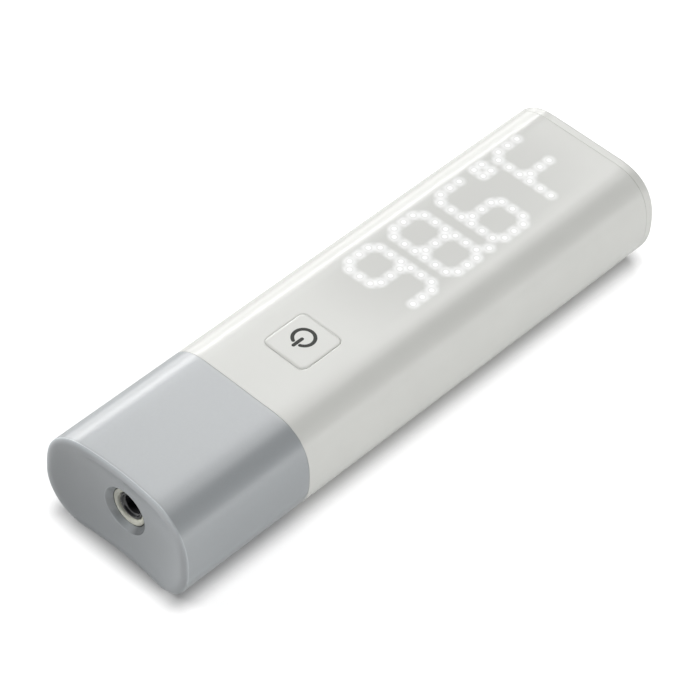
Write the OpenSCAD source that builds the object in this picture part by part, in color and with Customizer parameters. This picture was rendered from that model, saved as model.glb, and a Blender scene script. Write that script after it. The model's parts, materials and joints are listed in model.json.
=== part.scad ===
// No-touch forehead thermometer, lying on its flat underside.
// +X runs from the sensor nose to the tail, +Z is up through the display. Millimetres.

/* [Body] */
// Overall length, nose rim to tail face
body_len = 138; // [136:0.5:160]
// Overall width
body_w = 39; // [38:0.5:46]
// Overall height
body_h = 23.9; // [23.5:0.1:28]
// Height of the widest line of the section
widest_z = 10.9; // [10:0.1:12]
// Sideways run of the rounded shoulder
shoulder_run = 11.2; // [9:0.1:11.5]
// Fullness of the shoulder curve (2 is an ellipse)
shoulder_power = 2.6; // [2.2:0.1:3.2]
// Sideways run of the rounded lower edge
belly_run = 9.2; // [7:0.1:9.6]
// Wall of the sleeve
wall = 1.8; // [1.4:0.1:2]

/* [Nose and tail] */
// Length of the grey nose cap
nose_len = 33.6; // [32:0.1:36]
// Radius of the hollow in the nose face
dish_r = 80; // [70:1:200]
// Rounding of the nose rim
nose_round = 0.9; // [0.4:0.1:1.4]
// Wall of the nose cap
nose_wall = 2.4; // [2.2:0.1:3]
// Depth of the spigot in the sleeve
spigot_len = 3.6; // [3:0.1:4.5]
// Thickness of the spigot and of the tail plug
spigot_t = 1.4; // [1:0.1:1.6]
// Thickness of the tail cap
tail_len = 2.2; // [1.6:0.1:3.5]
// Rounding of the tail edge
tail_round = 0.6; // [0.3:0.1:1]
// Depth of the tail plug in the sleeve
plug_len = 3.6; // [2:0.1:3.8]
// Slip clearance between sleeve and the plugs in it
slip = 0.1; // [0.05:0.01:0.2]

/* [Button] */
// Length of the button along the body
button_l = 11.7; // [9:0.1:13]
// Width of the button across the body
button_w = 11; // [9:0.1:12]
// Corner radius of the button
button_r = 1.5; // [0.8:0.1:3]
// Groove round the button
button_gap = 0.2; // [0.1:0.05:0.3]
// Middle of the button, off the middle between the nose seam and the display
button_x = -0.85; // [-2:0.05:1]
// Height of the button's rim behind the sleeve wall
button_rim = 0.9; // [0.6:0.1:1]
// Width of the button's rim behind the sleeve wall
rim_w = 1; // [0.6:0.1:1]
// Gap between the button's rim and the sleeve
rim_gap = 0.2; // [0.1:0.05:0.3]
// Clearance of the switch below the button's rim
switch_gap = 0.35; // [0.2:0.05:0.5]
// Travel of the button
button_travel = 0.4; // [0.2:0.05:0.5]
// Outer radius of the power mark
icon_r = 2.68; // [2:0.01:3.2]
// Line width of the power mark
icon_line = 0.78; // [0.5:0.01:0.9]
// Depth of the power mark
icon_t = 0.3; // [0.2:0.05:0.5]
// Middle of the power mark, off the middle of the button
icon_dx = 0.9; // [0:0.1:1]
// Sideways place of the power mark, off the middle of the button
icon_dy = 0.6; // [0:0.1:1]

/* [Display] */
// Middle of the first digit, from the tail face
digit_1_x = 60.8; // [60:0.1:62]
// Middle of the second digit, from the tail face
digit_2_x = 47.3; // [46.6:0.1:48]
// Middle of the third digit, from the tail face
digit_3_x = 32.9; // [32.2:0.1:33.6]
// Middle of the unit letter, from the tail face
unit_x = 14.6; // [13.6:0.1:15.2]
// Decimal point, from the tail face
point_x = 40.3; // [40:0.1:40.6]
// Middle of the degree sign, from the tail face
degree_x = 24.1; // [23.6:0.1:24.4]
// Middle row of the digits, off the middle of the body
digit_y = 0.8; // [0:0.1:1]
// Spacing of the dots in a stroke
dot_pitch = 2.85; // [2.6:0.01:2.9]
// Column to column width of a digit
digit_w = 9.3; // [9:0.1:9.6]
// Top row to bottom row height of a digit
digit_h = 17.4; // [17:0.1:17.8]
// Radius of a hole in the baffle
dot_r = 1; // [0.8:0.05:1.05]
// Length of one LED
led_l = 1.1; // [0.8:0.1:1.2]
// Width of one LED
led_w = 0.6; // [0.4:0.1:0.8]
// Height of one LED
led_h = 0.7; // [0.4:0.1:1]
// Border of the baffle round the dots
baffle_border = 0.9; // [0.6:0.1:1]
// Thickness of the diffuser film
film_t = 0.3; // [0.2:0.05:0.5]
// Gap between the film and the sleeve
film_gap = 0.2; // [0.1:0.05:0.3]

/* [Sensor] */
// Height of the sensor axis
sensor_z = 12.1; // [11.8:0.1:12.4]
// Radius of the countersink where it meets the ring
seat_r = 4.35; // [4.2:0.05:4.6]
// Depth of the ring below the middle of the nose face
ring_depth = 1.5; // [1.2:0.1:1.8]
// Length of the cream ring
ring_len = 2.3; // [1.8:0.1:2.6]
// How far the ring's inner edge dips
ring_dip = 0.6; // [0.3:0.1:0.8]
// Outer radius of the black barrel
barrel_r = 3; // [2.8:0.05:3.1]
// Bore radius of the barrel
barrel_bore = 2.1; // [1.8:0.05:2.2]
// Length of the barrel
barrel_len = 6.6; // [6:0.1:7]
// Clearance of the ring and the barrel in their seats
sensor_fit = 0.06; // [0.03:0.01:0.1]
// Thickness of the gasket
gasket_t = 0.4; // [0.3:0.1:0.6]
// Radius of the thermopile can
can_r = 2.7; // [2.5:0.05:2.8]
// Height of the thermopile can
can_h = 3.2; // [2.8:0.1:3.6]
// Radius of the infrared window
window_r = 1.6; // [1.2:0.1:1.9]
// Thickness of the infrared window
window_t = 0.4; // [0.3:0.1:0.6]
// Radius of the holder's body
holder_r = 6.4; // [6:0.1:6.8]
// Thickness of the holder's flange
holder_flange = 2; // [1.5:0.1:2.5]
// Distance of the holder's screws from the sensor axis
holder_screw_y = 9.6; // [9.3:0.1:10]
// Radius of a sensor pin
pin_r = 0.22; // [0.18:0.01:0.3]
// Radius of the circle of the sensor pins
pin_circle = 1.8; // [1.5:0.1:2]
// Thickness of the sensor board
sensor_board_t = 1; // [0.8:0.1:1.2]
// Width of the sensor board
sensor_board_w = 13; // [12:0.5:14]
// Height of the sensor board
sensor_board_h = 12; // [10:0.5:13]
// Width of the sensor ribbon
ribbon_w = 6; // [4:0.5:8]
// Thickness of the sensor ribbon
ribbon_t = 0.3; // [0.2:0.05:0.4]
// Straight run of the ribbon behind the sensor board and before the bulkhead
ribbon_run = 4; // [2:0.5:5]
// Lap of the ribbon under the main board
ribbon_lap = 1.6; // [1:0.1:2]
// Height of the ribbon's start above the sensor axis
ribbon_rise = 4; // [2:0.5:4.5]

/* [Batteries] */
// Diameter of an AAA cell
cell_d = 10.5; // [10:0.1:10.6]
// Length of an AAA cell, over its cap
cell_l = 44.5; // [44:0.1:44.8]
// Radius of the cell's cap
cap_r = 1.9; // [1.6:0.1:2.2]
// Height of the cell's cap
cap_h = 0.8; // [0.6:0.1:1.2]
// Room round a cell
cell_gap = 0.25; // [0.15:0.05:0.3]
// Room at each end of a cell for the contacts
contact_room = 2; // [1.8:0.1:2.1]
// Thickness of the contact sheet
contact_t = 0.4; // [0.3:0.05:0.5]
// Width of a contact
contact_w = 7; // [5:0.5:8]
// Height of a contact
contact_h = 7; // [6:0.5:7.5]
// Width of a contact's spring leaf
leaf_w = 4; // [3:0.5:4.5]
// Depth of the bridge contact's seat inside the tail cap
bridge_inset = 1.2; // [0.8:0.1:1.6]
// Border of the seat round the bridge contact
bridge_border = 0.5; // [0.3:0.1:0.6]

/* [Chassis and boards] */
// Wall of the battery box
box_wall = 1; // [0.8:0.1:1.2]
// Thickness of the deck
deck_t = 1.2; // [1:0.1:1.4]
// Gap between the chassis and the sleeve
chassis_gap = 0.4; // [0.3:0.05:0.5]
// Height of the posts under the main board
post_h = 1.8; // [1.6:0.1:2]
// Radius of the posts
post_r = 2.2; // [1.9:0.1:2.4]
// Thickness of the main board
board_t = 1.2; // [1:0.1:1.4]
// Width of the main board
board_w = 27; // [26:0.5:28]
// Board screws, in from the long edges of the board
screw_inset = 4.5; // [4:0.1:5]
// Board screws, in from the short edge of the board
screw_end = 2.8; // [2.4:0.1:3.2]
// Board screws, ahead of the display
screw_ahead = 6; // [4:0.1:7]
// Screw bosses in the nose, in from the side of the body
boss_y = 7; // [6.7:0.1:7.2]
// Height of the screw bosses in the nose
boss_z = 6.5; // [6.2:0.1:6.6]
// Radius of the screw bosses in the nose
boss_r = 2.8; // [2.2:0.1:2.9]
// Thickness of the front bulkhead
bulkhead_t = 1.6; // [1.2:0.1:2]
// Gap between the main board and its neighbours
board_gap = 0.4; // [0.3:0.05:0.6]
// Length of the switch
switch_l = 6; // [5:0.1:6.2]
// Height of the switch
switch_h = 1.5; // [1.2:0.1:1.6]
// Radius of the switch plunger
plunger_r = 1.4; // [1:0.1:1.6]
// Sliding clearance of the plunger in the switch
plunger_fit = 0.06; // [0.03:0.01:0.1]
// Middle of the microcontroller, behind the start of the display
mcu_x = 3; // [2:0.1:5]
// Width of the microcontroller
mcu_w = 7; // [5:0.1:7]
// Height of the microcontroller
mcu_h = 1; // [0.8:0.1:1.2]
// Width of the inductor
inductor_w = 4; // [3:0.1:4.5]
// Height of the inductor
inductor_h = 1.5; // [1:0.1:1.5]
// Length of a small part
part_l = 1.6; // [1:0.1:2]
// Width of a small part
part_w = 0.8; // [0.5:0.1:1]
// Height of a small part
part_h = 0.7; // [0.4:0.1:1]
// Spacing of the small parts
part_pitch = 1.7; // [1.4:0.1:2]
// Gap between the microcontroller and the parts beside it
part_gap = 2; // [1.5:0.1:2.5]
// Middle of the vibration motor, ahead of the start of the display
motor_x = 2; // [0:0.5:4]
// Radius of the vibration motor
motor_r = 5; // [4:0.1:5.5]
// Height of the vibration motor
motor_h = 2.7; // [2:0.1:3.4]

/* [Screws] */
// Radius of a screw shank
screw_r = 0.95; // [0.8:0.05:1]
// Clearance of a shank in its hole
screw_fit = 0.06; // [0.03:0.01:0.1]
// Radius of a screw head
head_r = 1.8; // [1.6:0.1:1.9]
// Height of a screw head
head_h = 1.2; // [1:0.1:1.4]
// Length of a board screw
board_screw_l = 2.6; // [2.2:0.1:2.8]
// Length of the longer screws
long_screw_l = 5.2; // [4.6:0.1:5.4]

/* [Hidden] */
$fn = 48;
steps = 18;

// Along the body
x_nose = -body_len / 2;
x_tail = body_len / 2;
x_seam = x_nose + nose_len;
x_tail_seam = x_tail - tail_len;
x_plug = x_tail_seam - plug_len;

// The battery stack, from the tail inwards
bridge_x = x_tail_seam - bridge_inset;
cell_x1 = bridge_x - contact_t - contact_room;
cell_x0 = cell_x1 - cell_l;
box_x0 = cell_x0 - contact_room - contact_t;
box_x1 = min(cell_x1, x_plug - board_gap);

// Upwards through the body
floor_z = wall + chassis_gap;
cell_z = floor_z + box_wall + cell_gap + cell_d / 2;
deck_z = cell_z + cell_d / 2 + cell_gap;
post_z = deck_z + deck_t;
board_z = post_z + post_h;
board_top = board_z + board_t;
inner_top = body_h - wall;
film_z = inner_top - film_gap - film_t;
baffle_h = film_z - board_top;
cell_y = cell_d / 2 + cell_gap;
box_y = 2 * cell_y + box_wall;

// Corners of the display
baffle_low = [
  x_tail - digit_1_x - digit_w / 2 - dot_r - baffle_border,
  digit_y - digit_h / 2 - dot_r - baffle_border
];
baffle_high = [
  x_tail - unit_x + dot_pitch + dot_r + baffle_border,
  digit_y + digit_h / 2 + dot_r + baffle_border
];

// The front frame
bulkhead_x = x_seam + spigot_len;
board_x0 = bulkhead_x + bulkhead_t + board_gap;
board_x1 = cell_x1;
board_screw_y = board_w / 2 - screw_inset;
board_screw_x = [board_x0 + screw_end, baffle_low[0] - screw_ahead];
boss_side = body_w / 2 - boss_y;

// The button
button_cx = (x_seam + baffle_low[0]) / 2 + button_x;
button_cy = 0.08;
rim_top = inner_top - rim_gap;
plunger_top = rim_top - button_rim - switch_gap;
switch_top = plunger_top - button_travel - 0.15;
switch_z = switch_top - switch_h;

// The sensor train, from the nose face inwards
rim_half = max([for (p = section(nose_round)) norm([p[0], p[1] - widest_z])]);
dish_mid = x_nose + dish_r - sqrt(dish_r * dish_r - rim_half * rim_half);
ring_x = dish_mid + ring_depth;
gasket_x = ring_x + ring_len;
holder_x = gasket_x + gasket_t;
holder_screw_tip = holder_x + holder_flange - long_screw_l;
front_in = holder_x - 1.6;
barrel_x = ring_x + ring_dip;
can_x = barrel_x + barrel_len;
can_back = can_x + can_h;
sensor_board_x = can_back + 1.6;

// Points of a quarter of the section, pushed in by a wall
function pushed(y, z, a, b, n, t, inset) =
  let (c = pow(cos(t), 2 / n), s = pow(sin(t), 2 / n))
  let (gy = pow(c, n - 1) / a, gz = pow(s, n - 1) / b, g = sqrt(gy * gy + gz * gz))
  [y + a * c - inset * gy / g, z + b * s - inset * gz / g];
function shoulder(t, inset) = pushed(
  body_w / 2 - shoulder_run, 0, shoulder_run, body_h - widest_z, shoulder_power, t, inset);
function belly(t, inset) = pushed(
  body_w / 2 - belly_run, 0, belly_run, widest_z, 2, t, inset);
function section(inset) = concat(
  [for (i = [0:steps]) let (p = shoulder(90 * i / steps, inset)) [p[0], widest_z + p[1]]],
  [for (i = [steps:-1:0]) let (p = shoulder(90 * i / steps, inset)) [-p[0], widest_z + p[1]]],
  [for (i = [1:steps]) let (p = belly(90 * i / steps, inset)) [-p[0], widest_z - p[1]]],
  [for (i = [steps:-1:1]) let (p = belly(90 * i / steps, inset)) [p[0], widest_z - p[1]]]
);

// Rounded rectangle with its corners as arcs
function rounded(l, w, r) = [
  for (k = [0:3]) for (i = [0:6])
    let (a = 90 * k + 15 * i, sx = (k == 0 || k == 3) ? 1 : -1, sy = (k < 2) ? 1 : -1)
    [sx * (l / 2 - r) + r * cos(a), sy * (w / 2 - r) + r * sin(a)]
];

// Prism of the section between two places along the body
module prism(x0, x1, inset) {
  translate([x0, 0, 0])
    rotate([90, 0, 90])
      linear_extrude(x1 - x0)
        polygon(section(inset));
}

// Box by its lowest and highest corners
module block(low, high) {
  translate(low)
    cube(high - low);
}

// Cylinder along the body
module rod(x0, x1, r, y = 0, z = sensor_z) {
  translate([x0, y, z])
    rotate([0, 90, 0])
      cylinder(h = x1 - x0, r = r);
}

// Closed skin over rings of equal length, with flat or fanned ends
module skin(rings) {
  n = len(rings[0]);
  m = len(rings);
  points = [for (ring = rings) for (p = ring) p];
  walls = [
    for (j = [0:m - 2]) for (i = [0:n - 1]) each [
      [j * n + i, (j + 1) * n + i, j * n + (i + 1) % n],
      [j * n + (i + 1) % n, (j + 1) * n + i, (j + 1) * n + (i + 1) % n]
    ]
  ];
  first = [for (i = [0:n - 1]) i];
  last = [for (i = [n - 1:-1:0]) (m - 1) * n + i];
  polyhedron(points, concat(walls, [first, last]));
}

// Front face of the nose: part of a large ball
function dish(y, z) = x_nose
  + sqrt(dish_r * dish_r - y * y - pow(z - widest_z, 2))
  - sqrt(dish_r * dish_r - rim_half * rim_half);
function dish_ring(scale) = [
  for (p = section(nose_round))
    let (y = p[0] * scale, z = sensor_z + (p[1] - sensor_z) * scale)
    [dish(y, z), y, z]
];
function rim_ring(a) =
  let (edge = section(nose_round), out = section(nose_round * (1 - sin(a))), dx = nose_round * (1 - cos(a)))
  [for (i = [0:len(edge) - 1]) [dish(edge[i][0], edge[i][1]) + dx, out[i][0], out[i][1]]];
function flat_ring(inset, x) = [for (p = section(inset)) [x, p[0], p[1]]];

module sleeve() {
  color("#eeeee9")
    difference() {
      prism(x_seam, x_tail_seam, 0);
      prism(x_seam - 1, x_tail_seam + 1, wall);
      translate([button_cx, button_cy, inner_top - 2])
        linear_extrude(wall + 4)
          polygon(rounded(button_l + 2 * button_gap, button_w + 2 * button_gap, button_r + button_gap));
    }
}

module nose_cap() {
  curve = [0, 22.5, 45, 67.5, 90];
  color("#a9adb0")
    difference() {
      union() {
        difference() {
          skin(concat(
            [dish_ring(0.2), dish_ring(0.5), dish_ring(0.8)],
            [for (a = curve) rim_ring(a)],
            [flat_ring(0, x_seam)]
          ));
          prism(front_in, x_seam + 1, nose_wall);
        }
        difference() {
          prism(x_seam - 3, bulkhead_x, wall + slip);
          prism(x_seam - 4, bulkhead_x + 1, wall + slip + spigot_t);
        }
        rod(front_in - 0.5, holder_x, seat_r + 2);
        for (s = [-1, 1]) {
          rod(front_in - 0.5, holder_x, 2.2, s * holder_screw_y);
          rod(front_in - 0.5, bulkhead_x, boss_r, s * boss_side, boss_z);
        }
      }
      translate([dish_mid - 3, 0, sensor_z])
        rotate([0, 90, 0])
          cylinder(h = ring_depth + 3, r1 = seat_r + ring_depth + 3, r2 = seat_r);
      rod(ring_x - 0.01, holder_x + 1, seat_r);
      for (s = [-1, 1]) {
        rod(holder_screw_tip - 0.3, holder_x + 1, screw_r + screw_fit, s * holder_screw_y);
        rod(bulkhead_x - long_screw_l, bulkhead_x + 1, screw_r + screw_fit, s * boss_side, boss_z);
      }
    }
}

module tail_cap() {
  curve = [90, 60, 30, 0];
  color("#eeeee9")
    union() {
      skin(concat(
        [flat_ring(0, x_tail_seam)],
        [for (a = curve) flat_ring(tail_round * (1 - sin(a)), x_tail - tail_round * (1 - cos(a)))]
      ));
      difference() {
        prism(x_plug, x_tail_seam + 0.5, wall + slip);
        prism(x_plug - 1, x_tail_seam, wall + slip + spigot_t);
      }
      block(
        [bridge_x, -cell_y - contact_w / 2, cell_z - contact_h / 2 - bridge_border],
        [x_tail_seam + 0.5, cell_y + contact_w / 2, cell_z + contact_h / 2 + bridge_border]
      );
    }
}

module icon_shape(grow) {
  mid = icon_r - icon_line / 2;
  opening = 24;
  difference() {
    circle(r = icon_r + grow);
    circle(r = icon_r - icon_line - grow);
    polygon([
      [0, 0],
      2 * icon_r * [-cos(opening), sin(opening)] + [0, -grow],
      2 * icon_r * [-cos(opening), -sin(opening)] + [0, grow]
    ]);
  }
  translate([-mid - 0.7 - grow, -icon_line / 2 - grow])
    square([mid + 0.3 + 2 * grow, icon_line + 2 * grow]);
}

module button_cap() {
  color("#f1f1ec")
    difference() {
      union() {
        translate([button_cx, button_cy, rim_top - 0.5])
          linear_extrude(body_h - rim_top + 0.5)
            polygon(rounded(button_l, button_w, button_r));
        translate([button_cx, button_cy, rim_top - button_rim])
          linear_extrude(button_rim)
            polygon(rounded(button_l + 2 * rim_w, button_w + 2 * rim_w, button_r + rim_w));
        translate([button_cx, button_cy, plunger_top])
          cylinder(h = rim_top - plunger_top, r = plunger_r + 0.8);
      }
      translate([button_cx + icon_dx, button_cy + icon_dy, body_h - icon_t])
        linear_extrude(icon_t + 1)
          icon_shape(0.03);
    }
}

module power_icon() {
  color("#55585a")
    translate([button_cx + icon_dx, button_cy + icon_dy, body_h - icon_t])
      linear_extrude(icon_t)
        icon_shape(0);
}

module switch_body() {
  half = switch_l / 2;
  color("#2c2d2f")
    difference() {
      block(
        [button_cx - half, button_cy - half, switch_z],
        [button_cx + half, button_cy + half, switch_top]
      );
      translate([button_cx, button_cy, switch_top - button_travel - 0.3])
        cylinder(h = button_travel + 1, r = plunger_r + plunger_fit);
    }
}

module switch_plunger() {
  color("#c9b98a")
    translate([button_cx, button_cy, switch_top - 0.2])
      cylinder(h = plunger_top - switch_top + 0.2, r = plunger_r);
}

module chassis() {
  color("#d8d8d4")
    difference() {
      union() {
        difference() {
          prism(bulkhead_x, bulkhead_x + bulkhead_t, wall + slip + spigot_t + 0.3);
          block([bulkhead_x - 1, -ribbon_w, post_z], [bulkhead_x + bulkhead_t + 1, ribbon_w, body_h]);
        }
        intersection() {
          prism(bulkhead_x, box_x1, wall + chassis_gap);
          union() {
            block(
              [bulkhead_x + bulkhead_t - 0.5, -board_w / 2 - 1, deck_z],
              [box_x1, board_w / 2 + 1, post_z]
            );
            block([box_x0 - box_wall, -box_y, floor_z], [box_x1, box_y, floor_z + box_wall]);
            block([box_x0 - box_wall, -box_y, floor_z], [box_x0, box_y, deck_z + 0.1]);
            for (s = [-1, 1])
              translate([0, s * (box_y - box_wall / 2), 0])
                block([box_x0 - box_wall, -box_wall / 2, floor_z], [box_x1, box_wall / 2, deck_z + 0.1]);
          }
        }
        for (x = [board_screw_x[0], board_screw_x[1], box_x1 - post_r])
          for (s = [-1, 1])
            translate([x, s * board_screw_y, post_z - 0.1])
              cylinder(h = post_h + 0.1, r = post_r);
        block(
          [button_cx - switch_l / 2, button_cy - switch_l / 2, post_z - 0.1],
          [button_cx + switch_l / 2, button_cy + switch_l / 2, switch_z]
        );
      }
      for (x = board_screw_x)
        for (s = [-1, 1])
          translate([x, s * board_screw_y, board_top - board_screw_l - 0.3])
            cylinder(h = board_screw_l, r = screw_r + screw_fit);
      for (s = [-1, 1]) {
        rod(bulkhead_x - 1, bulkhead_x + bulkhead_t + 1, screw_r + screw_fit, s * boss_side, boss_z);
        block(
          [box_x0 - 0.1, s * cell_y - contact_w / 4 - 0.3, deck_z - 1],
          [box_x0 + contact_t + 0.3, s * cell_y + contact_w / 4 + 0.3, post_z + 1]
        );
      }
    }
}

module main_board() {
  color("#2f6b45")
    difference() {
      block([board_x0, -board_w / 2, board_z], [board_x1, board_w / 2, board_top]);
      block(
        [button_cx - switch_l / 2 - board_gap, button_cy - switch_l / 2 - board_gap, board_z - 1],
        [button_cx + switch_l / 2 + board_gap, button_cy + switch_l / 2 + board_gap, board_top + 1]
      );
      for (x = board_screw_x)
        for (s = [-1, 1])
          translate([x, s * board_screw_y, board_z - 1])
            cylinder(h = board_t + 2, r = screw_r + screw_fit);
    }
}

// Dots of one figure: three in each of its strokes
stroke = [-1, 0, 1];
function level(row) = [for (k = stroke) [k * dot_pitch, row * digit_h / 2]];
function upright(side, half) = [for (k = stroke) [side * digit_w / 2, half * digit_h / 4 + k * dot_pitch]];
digit_dots = concat(
  level(1), level(0), level(-1), upright(-1, 1), upright(1, 1), upright(-1, -1), upright(1, -1));
unit_dots = concat(level(1), level(0), level(-1), upright(-1, 1), upright(-1, -1));
degree_dots = [
  for (i = [-1, 1]) for (k = [-1, 1])
    [i * dot_pitch * 0.43, digit_h / 2 + (k - 1) * dot_pitch * 0.45]
];
function placed(dots, x) = [for (d = dots) [x_tail - x + d[0], digit_y + d[1]]];
all_dots = concat(
  placed(digit_dots, digit_1_x), placed(digit_dots, digit_2_x), placed(digit_dots, digit_3_x),
  placed(unit_dots, unit_x), placed(degree_dots, degree_x), placed([[0, -digit_h / 2]], point_x));

module led_emitters() {
  color("#f4f0d8")
    for (d = all_dots)
      translate([d[0] - led_l / 2, d[1] - led_w / 2, board_top])
        cube([led_l, led_w, led_h]);
}

module led_baffle() {
  color("#f7f7f5")
    difference() {
      intersection() {
        block([baffle_low[0], baffle_low[1], board_top], [baffle_high[0], baffle_high[1], film_z]);
        prism(baffle_low[0] - 1, baffle_high[0] + 1, wall + film_gap);
      }
      for (d = all_dots)
        translate([d[0], d[1], board_top - 1])
          cylinder(h = baffle_h + 2, r = dot_r, $fn = 24);
    }
}

module diffuser_film() {
  color("#fbfbf8")
    intersection() {
      block([baffle_low[0], baffle_low[1], film_z], [baffle_high[0], baffle_high[1], film_z + film_t]);
      prism(baffle_low[0] - 1, baffle_high[0] + 1, wall + film_gap / 2);
    }
}

module microcontroller() {
  x = baffle_low[0] + mcu_x;
  half = mcu_w / 2;
  color("#1f2022")
    block([x - half, -half, board_z - mcu_h], [x + half, half, board_z]);
}

module inductor() {
  x = baffle_low[0] + mcu_x;
  half = inductor_w / 2;
  y = -mcu_w / 2 - part_gap - half;
  color("#3a3a3c")
    block([x - half, y - half, board_z - inductor_h], [x + half, y + half, board_z]);
}

module passive_parts() {
  count = 6;
  x = baffle_low[0] + mcu_x - part_pitch * (count - 1) / 2;
  color("#b08a58")
    for (i = [0:count - 1])
      translate([x + part_pitch * i - part_w / 2, mcu_w / 2 + part_gap, board_z - part_h])
        cube([part_w, part_l, part_h]);
}

module vibration_motor() {
  color("#b9bcc0")
    translate([baffle_low[0] - motor_x, 0, deck_z - motor_h])
      cylinder(h = motor_h, r = motor_r);
}

module sensor_ring() {
  inner = barrel_r + sensor_fit;
  outer = seat_r - sensor_fit;
  color("#d3d2c4")
    translate([ring_x, 0, sensor_z])
      rotate([0, 90, 0])
        rotate_extrude()
          polygon([[outer, 0], [outer, ring_len], [inner, ring_len], [inner, ring_dip]]);
}

module sensor_barrel() {
  color("#1b1b1d")
    translate([barrel_x, 0, sensor_z])
      rotate([0, 90, 0])
        rotate_extrude()
          polygon([
            [barrel_r, 0], [barrel_r, barrel_len], [barrel_bore, barrel_len],
            [barrel_bore, 1], [barrel_r - 0.3, 0]
          ]);
}

module sensor_gasket() {
  color("#3b3b3d")
    difference() {
      rod(gasket_x, gasket_x + gasket_t, seat_r - sensor_fit);
      rod(gasket_x - 1, gasket_x + gasket_t + 1, barrel_r + sensor_fit);
    }
}

module sensor_holder() {
  color("#2a2b2d")
    difference() {
      union() {
        rod(holder_x, can_back, holder_r);
        for (s = [-1, 1])
          rod(holder_x, holder_x + holder_flange, 2.6, s * holder_screw_y);
        block(
          [holder_x, -holder_screw_y, sensor_z - 2.6],
          [holder_x + holder_flange, holder_screw_y, sensor_z + 2.6]
        );
        for (s = [-1, 1])
          rod(can_back - 0.1, sensor_board_x, 1, s * (holder_r - 1.2));
      }
      rod(holder_x - 1, can_x, barrel_r + sensor_fit);
      rod(can_x - 0.1, can_back + 2, can_r + sensor_fit);
      for (s = [-1, 1])
        rod(holder_x - 1, holder_x + holder_flange + 1, screw_r + screw_fit, s * holder_screw_y);
    }
}

module sensor_window() {
  color("#3c4046")
    rod(can_x, can_x + window_t, window_r);
}

module thermopile_can() {
  color("#b4b7ba")
    difference() {
      union() {
        rod(can_x, can_back, can_r);
        rod(can_back, can_back + 0.5, can_r + 0.5);
      }
      rod(can_x - 1, can_x + window_t, window_r + sensor_fit);
    }
}

module sensor_pins() {
  end = sensor_board_x + sensor_board_t + 0.5;
  color("#c8a85a")
    for (a = [45:90:315])
      rod(can_back + 0.5, end, pin_r, pin_circle * cos(a), sensor_z + pin_circle * sin(a));
}

module sensor_board() {
  color("#2f6b45")
    difference() {
      block(
        [sensor_board_x, -sensor_board_w / 2, sensor_z - sensor_board_h / 2],
        [sensor_board_x + sensor_board_t, sensor_board_w / 2, sensor_z + sensor_board_h / 2]
      );
      for (a = [45:90:315])
        rod(
          sensor_board_x - 1, sensor_board_x + sensor_board_t + 1, pin_r + screw_fit,
          pin_circle * cos(a), sensor_z + pin_circle * sin(a)
        );
    }
}

module sensor_ribbon() {
  x0 = sensor_board_x + sensor_board_t;
  z0 = sensor_z + ribbon_rise;
  x1 = board_x0 + ribbon_lap;
  slope = [x0 + ribbon_run, bulkhead_x - ribbon_run];
  color("#c98a3c")
    translate([0, ribbon_w / 2, 0])
      rotate([90, 0, 0])
        linear_extrude(ribbon_w)
          polygon([
            [x0, z0 - ribbon_t], [slope[0], z0 - ribbon_t],
            [slope[1], board_z - ribbon_t], [x1, board_z - ribbon_t],
            [x1, board_z], [slope[1], board_z], [slope[0], z0], [x0, z0]
          ]);
}

// Pan-head screw along the body, its head towards the tail
module long_screw(x, y, z) {
  rod(x - long_screw_l, x + 0.1, screw_r, y, z);
  rod(x, x + head_h, head_r, y, z);
}

module sensor_screws() {
  color("#c4c7ca")
    for (s = [-1, 1])
      long_screw(holder_x + holder_flange, s * holder_screw_y, sensor_z);
}

module chassis_screws() {
  color("#c4c7ca")
    for (s = [-1, 1])
      long_screw(bulkhead_x + bulkhead_t, s * boss_side, boss_z);
}

module board_screws() {
  color("#c4c7ca")
    for (x = board_screw_x)
      for (s = [-1, 1])
        translate([x, s * board_screw_y, board_top])
          union() {
            cylinder(h = head_h, r = head_r);
            translate([0, 0, -board_screw_l])
              cylinder(h = board_screw_l + 0.1, r = screw_r);
          }
}

module cell_left() {
  color("#3e6f9e")
    union() {
      rod(cell_x0 + cap_h, cell_x1, cell_d / 2, cell_y, cell_z);
      rod(cell_x0, cell_x0 + cap_h + 0.1, cap_r, cell_y, cell_z);
    }
}

module cell_right() {
  color("#3e6f9e")
    union() {
      rod(cell_x0, cell_x1 - cap_h, cell_d / 2, -cell_y, cell_z);
      rod(cell_x1 - cap_h - 0.1, cell_x1, cap_r, -cell_y, cell_z);
    }
}

// Contact plate at the inner end of a cell, with a tab up to the main board
module contact_plate(y) {
  half = contact_h / 2;
  block([box_x0, y - contact_w / 2, cell_z - half], [box_x0 + contact_t, y + contact_w / 2, cell_z + half]);
  block([box_x0, y - contact_w / 4, cell_z + half - 0.1], [box_x0 + contact_t, y + contact_w / 4, board_z]);
}

// Bowed leaf that reaches a cell's flat end: base, direction and reach along the body
module leaf(x, y, reach) {
  t = sign(reach) * contact_t;
  foot = contact_h / 2 - 0.3;
  tip = 0.6;
  translate([0, y + leaf_w / 2, 0])
    rotate([90, 0, 0])
      linear_extrude(leaf_w)
        polygon([
          [x, cell_z - foot], [x + reach, cell_z - tip], [x + reach, cell_z + tip], [x, cell_z + foot],
          [x, cell_z + foot - tip], [x + reach - t, cell_z], [x, cell_z - foot + tip]
        ]);
}

module plus_contact() {
  color("#c9ccd0")
    union() {
      contact_plate(cell_y);
      rod(box_x0 + contact_t - 0.1, cell_x0 - 0.05, cap_r, cell_y, cell_z);
    }
}

module minus_contact() {
  color("#c9ccd0")
    union() {
      contact_plate(-cell_y);
      leaf(box_x0 + contact_t - 0.05, -cell_y, contact_room);
    }
}

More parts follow.
